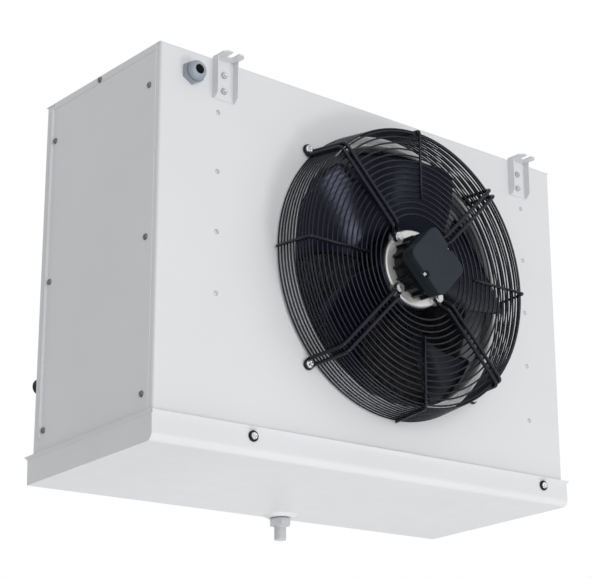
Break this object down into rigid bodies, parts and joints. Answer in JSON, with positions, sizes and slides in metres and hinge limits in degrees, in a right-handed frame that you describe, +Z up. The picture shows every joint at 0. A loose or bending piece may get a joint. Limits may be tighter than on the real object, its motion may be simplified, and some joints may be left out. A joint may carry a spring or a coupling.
{
  "type": "walk-in unit cooler",
  "caption": "Ceiling-hung box-shaped unit cooler: wire-guarded axial fan on the front, finned coil at the rear, sloping hinged drain pan, forked hanger brackets.",
  "frame": {"origin": "middle of the four hanger slots, in the ceiling plane on which the hanger tabs bear", "axes": "+X to the right along the front, +Y to the rear, through the coil, +Z up to the ceiling"},
  "size_m": [0.92, 0.5195, 0.7103],
  "materials": {
    "casing_paint": "satin powder coat",
    "galvanised": "matt galvanised",
    "wire_black": "gloss dip coat",
    "blade_black": "gloss",
    "motor_alu": "cast, satin",
    "motor_black": "satin",
    "box_plastic": "matt moulded",
    "zinc": "bright zinc",
    "rubber_black": "matt",
    "gland_grey": "matt moulded",
    "drain_plastic": "satin moulded",
    "fin_alu": "mill",
    "copper": "drawn",
    "bearing_steel": "ground"
  },
  "bodies": {
    "casing": {"front_panel": "casing_paint", "top_panel": "casing_paint", "left_cover": "casing_paint", "right_cover": "casing_paint", "rear_left_panel": "casing_paint", "rear_right_panel": "casing_paint", "left_bulkhead": "galvanised", "right_bulkhead": "galvanised", "panel_rivets": "casing_paint", "cover_screws": "zinc", "top_screws": "zinc", "hanger_front_left": "casing_paint", "hanger_front_right": "casing_paint", "hanger_rear_left": "casing_paint", "hanger_rear_right": "casing_paint", "hanger_screws": "zinc", "cable_gland": "gland_grey", "gland_cap": "gland_grey", "coil_fins": "fin_alu", "coil_tubes": "copper", "return_bends_left": "copper", "return_bends_right": "copper", "suction_pipe": "copper", "pipe_grommet": "rubber_black", "pipe_cap": "rubber_black", "guard_face_rings": "wire_black", "guard_wall_rings": "wire_black", "arm_screws": "zinc", "motor_cap": "motor_black", "guard_spokes": "wire_black", "guard_arms": "wire_black", "guard_screws": "zinc", "motor_flange": "motor_alu", "stator_core": "galvanised", "shaft_bearings": "bearing_steel", "terminal_box": "box_plastic", "terminal_lid": "box_plastic", "terminal_screws": "zinc", "hinge_brackets": "galvanised", "hinge_pins": "zinc"},
    "fan": {"rotor_cup": "motor_black", "rotor_shaft": "bearing_steel", "impeller": "blade_black"},
    "pan": {"drain_pan": "casing_paint", "drain_spigot": "drain_plastic", "drain_nut": "drain_plastic", "drain_gasket": "rubber_black", "pan_screws": "zinc", "pan_washers": "rubber_black", "pan_knuckles": "galvanised"}
  },
  "joints": [
    {"name": "fan_spin", "type": "hinge", "parent": "casing", "child": "fan", "pos_m": [0.019, -0.1925, -0.299], "axis": [0, 1, 0], "continuous": true},
    {"name": "pan_swing", "type": "hinge", "parent": "casing", "child": "pan", "pos_m": [0, 0.18285, -0.62861], "axis": [1, 0, 0], "range_deg": [0, 60]}
  ]
}
